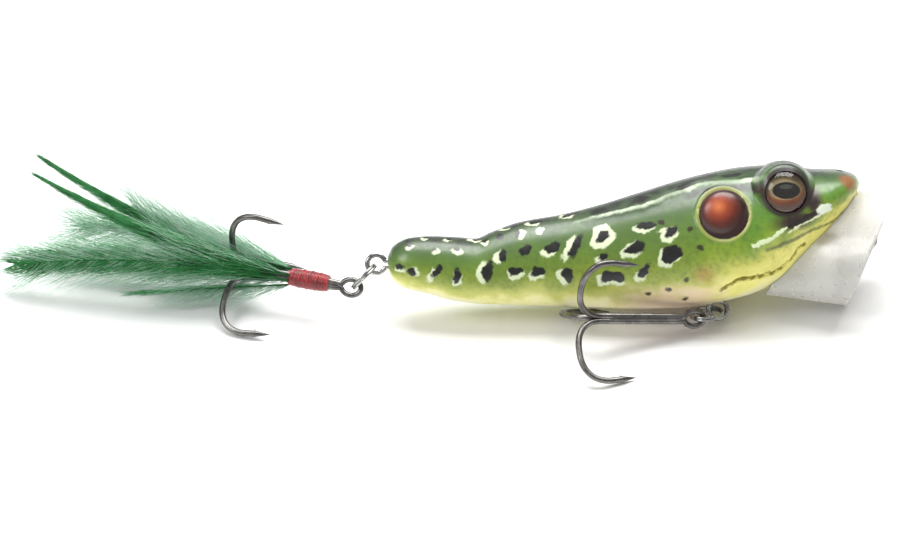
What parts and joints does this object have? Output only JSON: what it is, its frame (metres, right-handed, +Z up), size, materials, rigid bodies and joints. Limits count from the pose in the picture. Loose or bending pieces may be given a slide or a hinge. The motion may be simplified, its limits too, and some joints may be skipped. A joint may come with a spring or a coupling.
{
  "type": "topwater popper fishing lure",
  "caption": "Hollow frog-shaped topwater popper lying on its flank, with a clear cupped lip, wire eyes, split rings, swinging treble hooks and a feathered, thread-wrapped tail hook.",
  "frame": {"origin": "centre of the bounding box at the level of the surface the lure lies on", "axes": "+X along the body towards the nose and cup, +Z up from the surface; the back leans towards +Y"},
  "size_m": [0.131, 0.0352, 0.0237],
  "materials": {
    "frog_paint": "moulded plastic with a sprayed frog pattern under clear lacquer",
    "clear_lip": "translucent moulded plastic",
    "iris_gold": "printed foil disc with a black pupil",
    "eye_lens": "clear resin dome",
    "wire_steel": "drawn stainless wire",
    "hook_nickel": "black nickel plated steel",
    "ballast_steel": "plain steel",
    "red_thread": "wound thread under head cement",
    "green_feather": "dyed hackle feather",
    "mint_plume": "pale dyed marabou"
  },
  "bodies": {
    "lure_body": {"shell_right": "frog_paint", "shell_left": "frog_paint", "cup_lip": "clear_lip", "iris_right": "iris_gold", "iris_left": "iris_gold", "eye_lens_right": "eye_lens", "eye_lens_left": "eye_lens", "line_tie": "wire_steel", "belly_hanger": "wire_steel", "tail_hanger": "wire_steel", "tail_weight": "ballast_steel", "belly_weight": "ballast_steel"},
    "belly_ring": {"belly_ring": "wire_steel"},
    "belly_treble": {"belly_treble": "hook_nickel"},
    "tail_ring": {"tail_ring": "wire_steel"},
    "tail_treble": {"tail_treble": "hook_nickel", "thread_wrap": "red_thread", "hackle_upper_near": "green_feather", "hackle_upper_far": "green_feather", "hackle_middle": "green_feather", "hackle_lower": "green_feather", "plume_upper": "mint_plume", "plume_lower": "mint_plume"},
    "rattle_rear": {"rattle_ball_rear": "ballast_steel"},
    "rattle_front": {"rattle_ball_front": "ballast_steel"}
  },
  "joints": [
    {"name": "belly_ring_swing", "type": "hinge", "parent": "lure_body", "child": "belly_ring", "pos_m": [0.03915, -0.002, 0.00223], "axis": [0.6994, -0.6643, 0.2638], "range_deg": [0, 60]},
    {"name": "belly_treble_swing", "type": "hinge", "parent": "belly_ring", "child": "belly_treble", "pos_m": [0.03581, -0.00521, 0.00303], "axis": [0.6994, -0.6643, 0.2638], "range_deg": [0, 100]},
    {"name": "tail_ring_swing", "type": "hinge", "parent": "lure_body", "child": "tail_ring", "pos_m": [-0.01108, 0.00191, 0.00847], "axis": [-0.0126, 0.7986, -0.6017], "range_deg": [-60, 60]},
    {"name": "tail_treble_swing", "type": "hinge", "parent": "tail_ring", "child": "tail_treble", "pos_m": [-0.01446, -0.00009, 0.00589], "axis": [-0.0126, 0.7986, -0.6017], "range_deg": [-75, 60]},
    {"name": "rattle_rear_slide", "type": "slide", "parent": "lure_body", "child": "rattle_rear", "axis": [0.9998, 0, -0.0209], "range_m": [-0.002, 0]},
    {"name": "rattle_front_slide", "type": "slide", "parent": "lure_body", "child": "rattle_front", "axis": [0.9998, 0, -0.0209], "range_m": [-0.0024, 0]}
  ]
}
